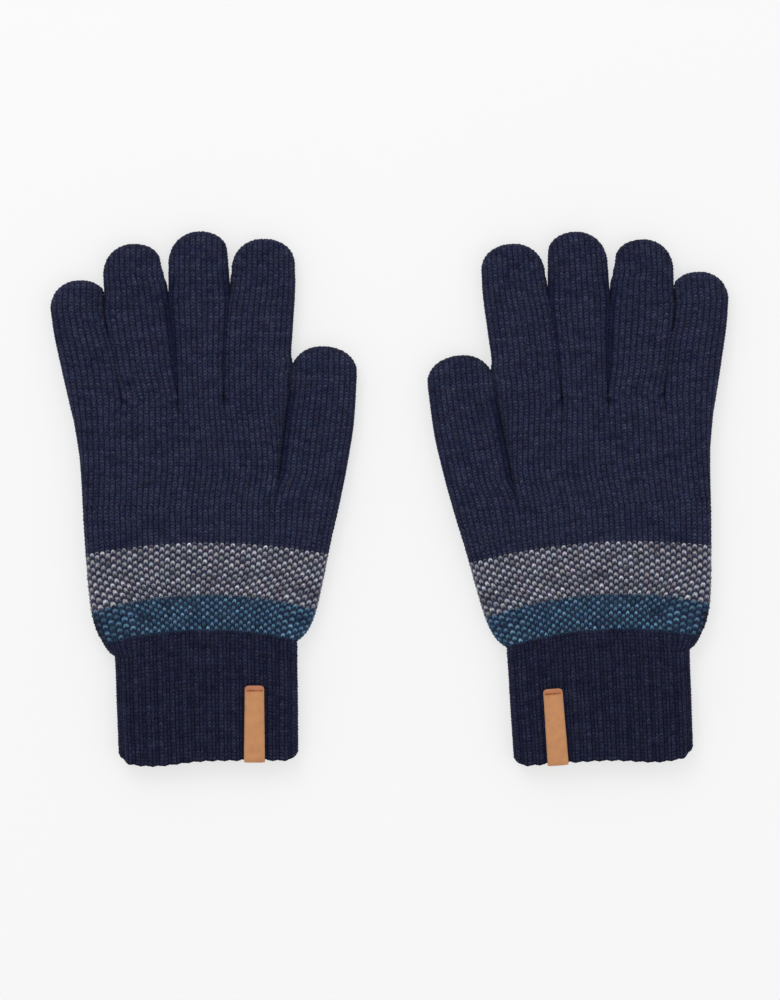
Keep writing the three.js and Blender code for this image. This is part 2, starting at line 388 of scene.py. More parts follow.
def cuff_tube():
    """The tube from the hem up to the thumb's root, which the cuff, the bands and the lower hand share."""
    def section(y, face):
        left = through(LEFT_OUTLINE, y)
        right = through(RIGHT_OUTLINE, y)
        return face_section(y, left, right, face, (0, 0), (SIDE_DEPTH, SIDE_DEPTH))

    neck_x, _, neck_along = section(CUFF_NECK, TOP_FACE)

    def spread(y, u, x, along):
        narrowed = u + ribbing(y) * RIB_SQUEEZE * np.sin(2 * math.pi * (u - 0.5) / RIB_REPEAT)
        even = np.clip(narrowed / CUFF_WALES, 0, 1)
        crease = np.interp(THUMB_CREASE, x, along) / along[-1]
        near_thumb = rising(y, THUMB_PULL)
        bent = np.interp(even, [0, THUMB_CREASE_WALE / CUFF_WALES, 1], [0, crease, 1])
        spaced = along[-1] * (even * (1 - near_thumb) + bent * near_thumb)
        if y <= CUFF_NECK:
            return spaced
        # Above the neck the ribs run straight on, and only the wales near the sides splay out.
        straight = np.interp(np.interp(even * neck_along[-1], neck_along, neck_x), x, along)
        aside = np.minimum(u, CUFF_WALES - u) / SPLAYED_WALES
        low = straight[SPLAYED_WALES * COLUMNS]
        high = along[-1] - straight[-1 - SPLAYED_WALES * COLUMNS]
        straight = np.where((aside < 1) & (u < CUFF_WALES / 2), low * aside, straight)
        straight = np.where((aside < 1) & (u > CUFF_WALES / 2), along[-1] - high * aside, straight)
        kept = float(1 - rising(y, SPLAY_END))
        return straight * kept + spaced * (1 - kept)

    return tube(np.arange(-BEYOND, THUMB_ROOT + BEYOND, COARSE_STEP), CUFF_WALES, section, spread)


def ribbing(y):
    """1 in the ribbed cuff, fading to 0 at its top."""
    return 1 - rising(y, RIB_END)


def hand_tube():
    """The tube from the thumb's root up to the knuckles, where the creases between the fingers start."""
    def section(y, face):
        left = through(LEFT_OUTLINE, y)
        edge = (y - THUMB_ROOT) / (KNUCKLES - THUMB_ROOT)
        right = THUMB_CREASE + (INDEX_EDGE - THUMB_CREASE) * max(edge, 0)
        wall = 1 - rising(y, (THUMB_ROOT, THUMB_GROWING))
        low = 1 - (1 - CREASE_HEIGHT) * float(rising(y, CREASE_START)) ** 1.5
        thumb_side = THUMB_SIDE + (1 - THUMB_SIDE) * float(rising(y, SIDE_OPENS))
        depths = (SIDE_DEPTH, SIDE_DEPTH * thumb_side)
        return face_section(y, left, right, face, (0, wall), depths, [(x, low) for x in CREASES])

    def spread(y, u, x, along):
        total = along[-1]
        corner = along[-2]
        hidden = min(EDGE_CROWD, corner)
        at_root = np.interp(u, [0, EDGE_WALES, EDGE_WALES + THUMB_CREASE_WALE, HAND_WALES],
                            [0, hidden, corner, total])
        creases = [np.interp(c, x, along) for c in CREASES]
        at_top = np.interp(u, [0, *CREASE_WALES, HAND_WALES], [0, *creases, total])
        upward = min(max((y - THUMB_ROOT) / (KNUCKLES - HANG - THUMB_ROOT), 0), 1)
        return at_root * (1 - upward) + at_top * upward

    return tube(np.arange(THUMB_ROOT - BEYOND, KNUCKLES + BEYOND, COARSE_STEP), HAND_WALES, section, spread)


def digit_edge(digit, side, y):
    """x of a digit's edge at level y: along its neighbour, then free, then rounding over to its tip."""
    level = digit[side][-1][0]
    tip, tip_x = digit["tip"]
    touches = digit["inner"][("left", "right").index(side)] > 0
    lowest = digit["root"] if touches else -math.inf
    x = float(through(digit[side], max(min(y, level), lowest)))
    if touches:
        inward = TOUCH_GAP / 2 * float(rising(y - digit["root"], GAP_OPENS))
        x += inward if side == "left" else -inward
    share = min(max((y - level) / (tip - level), 0), 1)
    return tip_x + (x - tip_x) * (1 - share ** CAP_POWER) ** (1 / CAP_POWER)


def cap_level(digit):
    """Where the first of a digit's edges starts to round over."""
    return min(digit["left"][-1][0], digit["right"][-1][0])


def tip_height(y, cap, tip):
    """How much of its thickness a digit keeps as it closes towards its tip."""
    share = min((y - cap) / (tip - cap), 1)
    return TIP_THICKNESS + (1 - TIP_THICKNESS) * (1 - share ** 2.6) ** (1 / 2.2)


def digit_tube(name):
    """A digit's tube. At its root it has the shape of the hand there; its tip is closed flat."""
    digit = DIGITS[name]
    root = digit["root"]
    tip = digit["tip"][0]
    cap = cap_level(digit)
    free = [extra == 0 for extra in digit["inner"]]
    wales = digit["face"] + sum(digit["inner"])
    half_width = (digit_edge(digit, "right", cap) - digit_edge(digit, "left", cap)) / 2

    def section(y, face):
        left = digit_edge(digit, "left", y)
        right = digit_edge(digit, "right", y)
        grown = float(ramp((y - root) / digit["growing"]))
        pressed = digit["seam"] * float(1 - rising(y - cap, PARTING))
        wall = max(digit["wall"] * (1 - grown), pressed)
        free_depth = SIDE_DEPTH * (1 - grown) + DIGIT_DEPTH * half_width * grown
        wall_depth = digit["wall_depth"] * (1 - grown) + DIGIT_DEPTH * half_width * grown
        corners = [0 if alone else wall for alone in free]
        depths = [free_depth if alone else wall_depth for alone in free]
        counted = [1 if alone else grown for alone in free]
        if y > cap:
            depths = [max(DIGIT_DEPTH * (right - left) / 2, LEAST_DEPTH)] * 2
            face = (face[0] * tip_height(y, cap, tip), face[1])
        return face_section(y, left, right, face, corners, depths, counted=counted)

    cap_x, _, cap_along = section(cap, TOP_FACE)

    def spread(y, u, x, along):
        total = along[-1]
        even = u / wales
        corner_left = 0 if free[0] else along[1]
        corner_right = total if free[1] else along[-2]
        knots = [0, digit["inner"][0], wales - digit["inner"][1], wales]
        at_root = np.interp(u, *unique_knots(knots, [0, corner_left, corner_right, total]))
        grown = ramp((y - root) / WALES_EVEN)
        spaced = at_root * (1 - grown) + even * total * grown
        # Round the tip the wales run straight up to the edge.
        straight_x = np.interp(even * cap_along[-1], cap_along, cap_x)
        straight = np.interp(np.clip(straight_x, x[0], x[-1]), x, along)
        capped = rising(y - cap, STRAIGHTENING)
        return spaced * (1 - capped) + straight * capped

    return tube(np.arange(root - BEYOND, tip + 0.1, FINE_STEP), wales, section, spread)


def unique_knots(knots, ends):
    """The same knots without those that repeat the one before, and their ends."""
    keep = [i for i in range(len(knots)) if i == 0 or knots[i] > knots[i - 1]]
    return [knots[i] for i in keep], [ends[i] for i in keep]


# -------- stitches

def stitch_tone(courses, wales, spread, noise):
    """Brightness of each stitch: every course is one strand, uneven along its length."""
    each = noise.normal(0, spread, (courses, wales))
    strand = noise.normal(0, spread * 0.8, (courses, wales // 3 + 2))
    place = np.linspace(0, strand.shape[1] - 1, wales)
    along = np.array([np.interp(place, np.arange(strand.shape[1]), row) for row in strand])
    return np.clip(1 + each + along, 0.45, 1.8)


def shade_and_tone_colour(yarn, light):
    """The yarn's colour under painted shade and random tone: bluer where darker, paler where lighter."""
    return yarn * (1 + (light[..., None] - 1) * SHADE_TONE_TINT)


def pinch_marks(x, y):
    """How strongly a place is pinched, and how much it lies in a tuft, both 0 to 1: they set the painted
    shade of the pinches and the painted highlight of the tufts.
    """
    pinch = np.zeros_like(x)
    tuft = np.zeros_like(x)
    for mark_x, mark_y, slope in PINCHES:
        beside = x - mark_x
        above = y - mark_y
        pinch += np.exp(-((above - slope * beside) / 0.8) ** 2 - (beside / 2.4) ** 2)
        tuft += np.exp(-((above - TUFT_OFFSET[1]) / 1.2) ** 2 - ((beside - TUFT_OFFSET[0]) / 1.4) ** 2)
    return np.clip(pinch, 0, 1), np.clip(tuft, 0, 1)


def plain_relief(across, rise):
    """Height and shade of plain knitting: a column of small arches with a groove at each side."""
    away = np.abs(2 * across - 1)
    column = 1 - away ** 3
    dip = np.exp(-((across - 0.5) / DIP_WIDTH) ** 2)
    arch = np.sin(math.pi * rise) ** 0.8
    height = COLUMN_RELIEF * column + LOOP_RELIEF * arch * (column - 0.25 * dip)
    # The shade is painted shade: darkest in the grooves and the gaps between loop legs, lightest on the
    # arches.
    shade = GROOVE_SHADE + 0.95 * column * (0.30 + 0.70 * arch) - 0.28 * dip * (rise < DIP_TOP)
    return height, shade


def rib_relief(across, rise, phase):
    """Plain knitting raised on the ribs and sunk between them, with more painted shade in the furrows; phase
    is 1 on a rib and -1 between.
    """
    height, shade = plain_relief(across, rise)
    return height * (1 + 0.2 * phase) + RIB_RELIEF * phase, shade * (0.97 + 0.14 * phase)


def bead_relief(across, climb):
    """Two-colour knitting: a raised bead of the light yarn, arched over a dark notch.

    climb is how far up its pattern of two courses a place is: the bead is at the bottom.
    """
    away = np.abs(2 * across - 1)
    column = 1 - away ** 4
    bead = climb < BEAD_SPAN
    arch = np.where(bead, np.sin(math.pi * np.clip(climb / BEAD_SPAN, 0, 1)), 0) ** 0.6
    notch = np.exp(-((across - 0.5) / NOTCH_WIDTH) ** 2) * (climb < DIP_TOP)
    cover = bead * column * (1 - 0.85 * notch) * np.where(climb < 0.1, 0.6, 1)
    height = BEAD_GROUND * column + BEAD_RELIEF * arch * column
    # Painted shade darkens each bead's sides and foot, and a painted highlight lies along its top.
    shade = 0.4 + 0.6 * column * (0.4 + 0.6 * arch)
    rim_highlight = np.exp(-((climb - 0.7) / 0.25) ** 2) * column
    return height, shade, cover, rim_highlight


def bead_colour(relief, yarn, tone, lit, bare_shaded_corner):
    """Beads of the light yarn over navy; in the band's lower left corner they thin out and painted shade
    darkens the knitting.
    """
    _, shade, cover, rim_highlight = relief
    cover = cover * (1 - bare_shaded_corner)
    between = shade_and_tone_colour(NAVY + yarn * BLEED, shade * tone) * (1 - cover[..., None])
    beads = yarn * (lit * shade * cover)[..., None]
    rim_highlights = RIM_LIGHT * (rim_highlight * lit * lit * cover)[..., None]
    return (between + beads + rim_highlights) * (1 - 0.5 * bare_shaded_corner[..., None])


def crotch_closed(x, y, _from_left):
    """Where the hand's stitches close up round the roots of the fingers, and where they are in shade."""
    filled = sum(np.exp(-((x - crease) / CROTCH_FILLED) ** 2) for crease in CREASES)
    shaded = sum(np.exp(-((x - crease) / CROTCH_SHADED) ** 2) for crease in CREASES)
    filled = np.clip(filled, 0, 1) * rising(y - KNUCKLES, (-4, 3))
    shaded = np.clip(shaded, 0, 1) * rising(y - KNUCKLES, (-5, 5))
    return filled, shaded


def laid_on(surface, courses, low, high, course_up, hang):
    """x, y and z of the vertices of a piece between the lines low and high.

    course_up is the number of courses up to each vertex, and hang how far it is off its course.
    """
    y = low(0.0) + (high(0.0) - low(0.0)) * course_up / courses
    # The lines are functions of x, and x depends on y, so a few rounds settle both.
    for _ in range(3):
        x, z = on_tube(surface, y)
        y = low(x) + (high(x) - low(x)) * course_up / courses + hang
    crowded = surface[0][-1] - TIP_CROWDING
    squeezed = crowded + TIP_CROWDING * (1 - np.exp(-(y - crowded) / TIP_CROWDING))
    y = np.where(y > crowded, squeezed, y)
    x, z = on_tube(surface, y)
    return np.stack([x, y, z], axis=-1)


def directions(point):
    """Across the fabric at each vertex, the width of that step, and straight out of the fabric."""
    side = np.roll(point, -1, axis=1) - np.roll(point, 1, axis=1)
    up = np.gradient(point, axis=0)
    normal = np.cross(side, up)
    length = np.linalg.norm(normal, axis=-1, keepdims=True)
    outward = np.where(length > 1e-3, normal / np.maximum(length, 1e-3), 0)
    return side, np.linalg.norm(side, axis=-1, keepdims=True), outward


def knit(surface, courses, low, high, yarn, seed, pattern="plain", closed=None):
    """One knitted piece: its vertices and its colour at each vertex, all round the tube.

    low and high are the lines its first and last courses follow, as functions of x. closed tells
    where the relief is filled up because the fabric presses against its neighbour there, and where
    that leaves it in shade; it is a function of x, y and the number of wales from the left seam.
    """
    noise = np.random.default_rng(seed)
    columns = surface[1].shape[1]
    wales = columns // COLUMNS
    row = np.arange(-1, courses * ROWS + 2)
    column = np.arange(columns)
    course = np.clip(row // ROWS, 0, courses - 1)
    wale = column // COLUMNS
    rise, across = np.meshgrid((row % ROWS) / ROWS, (column % COLUMNS) / COLUMNS, indexing="ij")
    from_left = np.minimum(column, columns - column)[None, :] / COLUMNS
    rib_phase = np.cos(2 * math.pi * (wale[None, :] + across - 1) / RIB_REPEAT)

    def each_stitch(spread):
        return noise.normal(0, spread, (courses, wales))[course][:, wale]

    # Where the vertices lie on the tube.
    bulge = np.sin(math.pi * rise) * np.sin(math.pi * across)
    hang = -HANG * np.abs(2 * across - 1) ** HANG_POWER
    course_up = np.broadcast_to(row[:, None] / ROWS, hang.shape)
    if pattern == "beads":
        hang = hang * (1 - 0.3 * ramp(course_up) * ramp(courses - course_up))
    hang = hang + each_stitch(LOOSENESS) * bulge
    if pattern == "rib":
        near_hem = 1 - ramp(course_up / HEM_COURSES)
        hang = hang * (1 - 0.85 * near_hem)
        course_up = course_up - SCALLOP * rib_phase * near_hem
    point = laid_on(surface, courses, low, high, course_up, hang)
    x, y = point[..., 0], point[..., 1]
    side, width, outward = directions(point)

    # The relief of the stitches, and their colour with painted shade and painted highlights.
    tone = stitch_tone(courses, wales, STITCH_TONE, noise)[course][:, wale]
    grain = noise.normal(0, 1, y.shape)
    tone = tone * np.clip(1 + FIBRE_TONE * grain, 0.4, 1.8)
    filled, shaded = closed(x, y, from_left) if closed else (0, 0)
    tone = tone * (1 - SEAM_SHADE * shaded)
    if pattern == "beads":
        relief = bead_relief(across, (course[:, None] + wale[None, :]) % 2 + rise)
        height = relief[0]
        lit = stitch_tone(courses, wales, BEAD_TONE, noise)[course][:, wale]
        lit = lit * np.clip(1 + 0.1 * grain, 0.7, 1.3)
        # In the blue band's lower left corner the beads thin out, and painted shade darkens the knitting
        # where it turns under.
        bare_shaded_corner = (1 - rising(from_left, BARE_WALES)) * (1 - rising(y, BARE_LEVELS))
        colour = bead_colour(relief, yarn, tone, lit, bare_shaded_corner)
    elif pattern == "rib":
        height, shade = rib_relief(across, rise, rib_phase * ribbing(y))
        colour = shade_and_tone_colour(yarn, shade * tone)
    else:
        height, shade = plain_relief(across, rise)
        pinch, tuft = pinch_marks(x, y)
        height = height - PINCH_DEPTH * pinch + TUFT_RELIEF * tuft
        # Painted shade in the pinches and a painted highlight on the tufts.
        colour = shade_and_tone_colour(yarn, shade * tone * (1 - 0.6 * pinch) * (1 + 0.3 * tuft))
    height = height + each_stitch(STITCH_RELIEF) * bulge + FIBRE_RELIEF * grain
    height = height * (1 - filled) + FILLED_HEIGHT * filled

    point = point + outward * (height[..., None] - RELIEF_LEVEL) * np.clip(width / CROWDED_WIDTH, 0, 1)
    point = point + side / np.maximum(width, 0.1) * (each_stitch(LOOSENESS) * bulge)[..., None]
    point[..., 2] = np.maximum(point[..., 2], FLOOR_CLEARANCE)
    # The first and last rows were only there to give the others their directions.
    return point[1:-1], np.clip(colour[1:-1], 0, 1)


def grid_faces(rows, columns):
    """The quads of a grid of vertices that closes round on itself."""
    r, c = np.meshgrid(np.arange(rows - 1), np.arange(columns), indexing="ij")
    right = (c + 1) % columns
    faces = np.stack([r * columns + c, r * columns + right,
                      (r + 1) * columns + right, (r + 1) * columns + c], axis=-1)
    return faces.reshape(-1, 4)


def gridded(points, colours):
    """A grid of vertices with its colours and its faces."""
    return points, colours, grid_faces(*points.shape[:2])


# -------- from shapes to objects

def glove_place(side):
    """Where the glove's own frame is in the row frame: origin, across, along."""
    wrist = next(j for j in frame["joints"] if j["name"] == f"{side}_wrist_fold")
    across = -np.array(wrist["axis"], float)
    across = across / np.linalg.norm(across)
    along = np.array([-across[1], across[0], 0])
    origin = np.array(wrist["pos_m"], float) - along * CUFF_TOP[0] / 1000
    origin[2] = 0
    return origin, across, along


def placed(side, points):
    """Millimetres in the left glove's frame to metres in the row frame, mirrored for the right glove."""
    origin, across, along = glove_place(side)
    mirror = 1 if side == "left" else -1
    p = points.reshape(-1, 3) / 1000
    return origin + p[:, :1] * mirror * across + p[:, 1:2] * along + p[:, 2:] * np.array([0, 0, 1])


def weld_mesh(mesh):
    """Joins vertices that lie in the same place."""
    work = bmesh.new()
    work.from_mesh(mesh)
    bmesh.ops.remove_doubles(work, verts=work.verts, dist=WELD)
    work.to_mesh(mesh)
    work.free()


def make_object(side, name, parts, material, weld=False):
    """A mesh object from (points, colours, faces) grids."""
    points, colours, faces = [], [], []
    count = 0
    for part_points, part_colours, part_faces in parts:
        points.append(placed(side, part_points))
        colours.append(part_colours.reshape(-1, 3))
        faces.append(part_faces + count)
        count += points[-1].shape[0]
    points = np.concatenate(points)
    colours = np.concatenate(colours)
    faces = np.concatenate(faces)
    if side == "right":
        faces = faces[:, ::-1]
    mesh = bpy.data.meshes.new(f"{side}_{name}")
    mesh.vertices.add(len(points))
    mesh.vertices.foreach_set("co", points.astype(np.float32).ravel())
    mesh.loops.add(faces.size)
    mesh.loops.foreach_set("vertex_index", faces.astype(np.int32).ravel())
    mesh.polygons.add(len(faces))
    mesh.polygons.foreach_set("loop_start", np.arange(0, faces.size, 4, dtype=np.int32))
    mesh.update(calc_edges=True)
    attribute = mesh.attributes.new("yarn", "FLOAT_COLOR", "POINT")
    rgba = np.concatenate([colours, np.ones((len(colours), 1))], axis=1)
    attribute.data.foreach_set("color", rgba.astype(np.float32).ravel())
    if weld:
        weld_mesh(mesh)
    mesh.polygons.foreach_set("use_smooth", np.ones(len(mesh.polygons), bool))
    mesh.materials.append(material)
    obj = bpy.data.objects.new(f"{side}_{name}_knit", mesh)
    scene.collection.objects.link(obj)
    return obj


def level_point(side, y):
    """A point of the glove's middle line at a level, in the row frame."""
    return tuple(placed(side, np.array([[0.0, y, MIDDLE]]))[0])


# -------- materials

def node(tree, kind, **values):
    """A new node with its settings."""
    made = tree.nodes.new(kind)
    for key, value in values.items():
        setattr(made, key, value)
    return made


def set_inputs(made, **values):
    """Sets a node's inputs by name; an underscore stands for a space."""
    for key, value in values.items():
        made.inputs[key.replace("_", " ")].default_value = value


def texture(tree, kind, scale, **values):
    """A texture in the object's own space."""
    made = node(tree, kind)
    set_inputs(made, Scale=scale, **values)
    place = node(tree, "ShaderNodeTexCoord")
    tree.links.new(place.outputs["Object"], made.inputs["Vector"])
    return made


def spread_noise(tree, scale, detail, low, high):
    """Soft noise whose usual values lie between low and high."""
    noise = texture(tree, "ShaderNodeTexNoise", scale, Detail=detail)
    wide = node(tree, "ShaderNodeMapRange")
    set_inputs(wide, From_Min=0.3, From_Max=0.7, To_Min=low, To_Max=high)
    tree.links.new(noise.outputs["Fac"], wide.inputs["Value"])
    return wide.outputs["Result"]


def add_bump(tree, shader, height, strength, distance):
    """Fine relief on a shader, from a texture's output."""
    bump = node(tree, "ShaderNodeBump")
    set_inputs(bump, Strength=strength, Distance=distance)
    tree.links.new(height, bump.inputs["Height"])
    tree.links.new(bump.outputs["Normal"], shader.inputs["Normal"])


def new_material(name):
    """A material, its node tree, its shader and the colour stored at the vertices."""
    material = bpy.data.materials.new(name)
    material.use_nodes = True
    tree = material.node_tree
    colour = node(tree, "ShaderNodeAttribute", attribute_name="yarn")
    return material, tree, tree.nodes["Principled BSDF"], colour.outputs["Color"]


def yarn_material(name, roughness=0.9):
    """Woollen yarn: the stitch colour, flecked with lighter and darker fibres, with a soft fuzz."""
    material, tree, shader, colour = new_material(name)
    flecks = spread_noise(tree, 1500, 3, 0.4, 1.75)
    blotches = spread_noise(tree, 170, 2, 0.82, 1.2)
    both = node(tree, "ShaderNodeMath", operation="MULTIPLY")
    tree.links.new(flecks, both.inputs[0])
    tree.links.new(blotches, both.inputs[1])
    hues = texture(tree, "ShaderNodeTexNoise", 320)
    hue_range = node(tree, "ShaderNodeVectorMath", operation="MULTIPLY_ADD")
    hue_range.inputs[1].default_value = (0.6, 0.35, 0.45)
    hue_range.inputs[2].default_value = (0.7, 0.825, 0.775)
    tree.links.new(hues.outputs["Color"], hue_range.inputs[0])
    heather = node(tree, "ShaderNodeVectorMath", operation="MULTIPLY")
    tree.links.new(colour, heather.inputs[0])
    tree.links.new(hue_range.outputs["Vector"], heather.inputs[1])
    tint = node(tree, "ShaderNodeVectorMath", operation="SCALE")
    tree.links.new(heather.outputs["Vector"], tint.inputs[0])
    tree.links.new(both.outputs["Value"], tint.inputs["Scale"])
    tree.links.new(tint.outputs["Vector"], shader.inputs["Base Color"])
    fibres = texture(tree, "ShaderNodeTexNoise", 2600, Detail=4)
    add_bump(tree, shader, fibres.outputs["Fac"], 0.6, 0.00012)
    set_inputs(shader, Roughness=roughness, Specular_IOR_Level=0.08, Sheen_Weight=0.06, Sheen_Roughness=0.5,
               Sheen_Tint=(0.55, 0.6, 0.85, 1))
    return material


def leather_material():
    """Smooth tan leather: fine grain and slightly uneven colour."""
    material, tree, shader, colour = new_material("tan_leather")
    patches = spread_noise(tree, 260, 4, 0.9, 1.08)
    tint = node(tree, "ShaderNodeVectorMath", operation="SCALE")
    tree.links.new(colour, tint.inputs[0])
    tree.links.new(patches, tint.inputs["Scale"])
    tree.links.new(tint.outputs["Vector"], shader.inputs["Base Color"])
    grain = texture(tree, "ShaderNodeTexVoronoi", 2400)
    add_bump(tree, shader, grain.outputs["Distance"], 0.35, 0.00008)
    set_inputs(shader, Roughness=0.55, Specular_IOR_Level=0.4)
    return material


# -------- the pieces of a glove

CUFF_SURFACE = cuff_tube()
HAND_SURFACE = hand_tube()


def hem_line(x):
    """The hem sags a little on the little finger's side and rounds up at both corners."""
    line = HEM_LEVEL - HEM_SAG["drop"] * np.exp(-((x - HEM_SAG["x"]) / HEM_SAG["width"]) ** 2)
    line = line + HEM_UNDER_LABEL["lift"] * np.exp(-((x - LABEL["centre"]) / HEM_UNDER_LABEL["width"]) ** 4)
    beyond = np.clip((np.abs(x - HEM_CORNERS["middle"]) - HEM_CORNERS["start"]) / HEM_CORNERS["reach"], 0, 1)
    # A little under a quarter circle, so that the corner never runs quite upright.
    return line + HEM_CORNERS["lift"] * (1 - np.sqrt(1 - beyond ** 2 * 0.98))


def into_cuff(hem):
    """Straight into the fabric from each vertex of the hem: down or up on the faces, inwards at the sides."""
    still = np.zeros(hem.shape[0])
    inward = np.stack([still, still, np.sign(MIDDLE - hem[:, 2])], axis=-1)
    aside = np.stack([-np.sign(hem[:, 0]), still, still], axis=-1)
    from_side = np.minimum(hem[:, 0] - hem[:, 0].min(), hem[:, 0].max() - hem[:, 0])
    near = np.exp(-(from_side / HEM_SIDE) ** 2)[:, None]
    inward = inward * (1 - near) + aside * near
    return inward / np.linalg.norm(inward, axis=1, keepdims=True)


def cuff_parts():
    """The ribbed cuff: its outside, the turn of the hem, and the inside of the fabric."""
    points, colours = knit(CUFF_SURFACE, CUFF_COURSES, hem_line, arched(CUFF_TOP), RIB_NAVY,
                           SEEDS["cuff"], "rib")
    hem = points[0]
    columns = hem.shape[0]
    inward = into_cuff(hem)
    added = []
    for level in np.arange(CUFF_INSIDE, 0, -INSIDE_STEP):
        x, z = on_tube(CUFF_SURFACE, np.full((1, columns), level))
        added.append(np.stack([x[0], np.full(columns, level), z[0]], axis=-1) + inward * HEM_THICKNESS)
    radius = HEM_THICKNESS / 2
    for angle in np.linspace(math.pi, 0, 6)[:-1]:
        turn = hem + inward * radius * (1 - math.cos(angle))
        turn[:, 1] -= radius * math.sin(angle)
        added.append(turn)
    inside = np.full((len(added), columns, 3), INSIDE_SHADE) * RIB_NAVY
    return [gridded(np.concatenate([added, points]), np.concatenate([inside, colours]))]


def band_parts(courses, low, high, yarn, seed):
    """A band of two-colour knitting between two arched lines."""
    return [gridded(*knit(CUFF_SURFACE, courses, arched(low), arched(high), yarn, seed, "beads"))]


def hand_parts():
    """The plain hand, in two grids that meet at the level of the thumb's root."""
    lower = knit(CUFF_SURFACE, LOWER_HAND_COURSES, arched(GREY_TOP), flat(THUMB_ROOT), NAVY,
                 SEEDS["lower_hand"])
    upper = knit(HAND_SURFACE, UPPER_HAND_COURSES, flat(THUMB_ROOT), flat(KNUCKLES), NAVY,
                 SEEDS["upper_hand"], closed=crotch_closed)
    return [gridded(*lower), gridded(*upper)]


def digit_parts(name, middle):
    """The two halves of a digit. They meet below its middle fold."""
    digit = DIGITS[name]
    root = digit["root"]
    courses = math.ceil((digit["tip"][0] - root) / COURSE) + SPARE_COURSES
    face_wales = digit["face"] + sum(digit["inner"])

    def closed(x, y, from_left):
        filled = 0
        shaded = 0
        for extra, aside in zip(digit["inner"], (from_left, face_wales - from_left)):
            if extra > 0:
                filled = np.maximum(filled, 1 - rising(aside, FILLED_WALES))
                shaded = np.maximum(shaded, 1 - rising(aside - extra, SHADED_WALES))
        touch = 1 - rising(y - cap_level(digit), UNFILLING)
        return filled * touch, shaded * touch

    points, colours = knit(digit_tube(name), courses, flat(root), flat(root + courses * COURSE), NAVY,
                           digit["face"] + int(root), closed=closed)
    # The last course closes the tip: its two faces meet.
    opposite = -np.arange(points.shape[1]) % points.shape[1]
    points[-1, :, 0] = (points[-1, :, 0] + points[-1, opposite, 0]) / 2
    points[-1, :, 2] = MIDDLE
    split = ROWS * round((middle - SPLIT_BELOW_FOLD - root) / COURSE)
    return [gridded(points[:split + 1], colours[:split + 1])], [gridded(points[split:], colours[split:])]


def label_line():
    """The label's middle line, up inside, round the hem and up the front.

    Each row is a level, a height, and the direction out of the strip as its steps in both.
    """
    turn = (LABEL["front_height"] - LABEL["inside_height"]) / 2
    rows = []
    for y in np.arange(LABEL["inside_top"], LABEL["turn_level"], -2 * LABEL_STEP):
        rows.append((y, LABEL["inside_height"], 0, -1))
    for angle in np.linspace(0, math.pi, LABEL_TURN_STEPS):
        rows.append((LABEL["turn_level"] - turn * math.sin(angle),
                     LABEL["inside_height"] + turn * (1 - math.cos(angle)),
                     -math.sin(angle), -math.cos(angle)))
    for y in np.arange(LABEL["turn_level"] + LABEL_STEP, LABEL["top"] + LABEL_STEP / 4, LABEL_STEP):
        rows.append((y, LABEL["front_height"], 0, 1))
    return np.array(rows)


def label_half_width(line):
    """Half the label's width along its line: rounded at both ends, a little wider towards the hem."""
    travelled = np.concatenate([[0], np.cumsum(np.hypot(*np.diff(line[:, :2], axis=0).T))])
    to_end = np.minimum(travelled, travelled[-1] - travelled)
    corner = LABEL["corner"]
    cut = corner - np.sqrt(np.clip(corner ** 2 - (corner - np.clip(to_end, 0, corner)) ** 2, 0, None))
    return LABEL["width"] / 2 - cut + LABEL["widening"] * ramp((LABEL["top"] - line[:, 0]) / LABEL["top"])


def label_parts():
    """A strip of leather folded over the hem, thinner and paler at its cut edges."""
    line = label_line()
    wide = label_half_width(line)
    shares = np.linspace(-1, 1, LABEL_STEPS)
    around = [(share, 1) for share in shares] + [(-share, -1) for share in shares]
    points = np.zeros((len(line), len(around), 3))
    colours = np.zeros_like(points)
    for k, (across, face) in enumerate(around):
        edge = abs(across) ** 6
        lift = LABEL["thickness"] / 2 * face * (1 - EDGE_THINNING * edge)
        points[:, k, 0] = LABEL["centre"] + across * wide
        points[:, k, 1] = line[:, 0] + line[:, 2] * lift
        points[:, k, 2] = line[:, 1] + line[:, 3] * lift
        mix = edge * 0.9
        colours[:, k] = LEATHER_TAN * (1 - mix) + LEATHER_EDGE * mix
    # Above the row of thread the front is darkened with painted shade.
    in_front = points[..., 2:] > (LABEL["front_height"] + LABEL["inside_height"]) / 2
    top = rising(points[..., 1] - LABEL["top"], LABEL_HEAD)[..., None] * in_front
    colours = colours * (1 - top) + SHADED_LEATHER_TOP * top
    columns = len(around)
    lids = []
    for r in (0, len(line) - 1):
        base = r * columns
        for i in range(LABEL_STEPS - 1):
            lid = [base + i, base + i + 1, base + columns - 2 - i, base + columns - 1 - i]
            lids.append(lid[::-1] if r == 0 else lid)
    return [(points, colours, np.concatenate([grid_faces(len(line), columns), np.array(lids)]))]


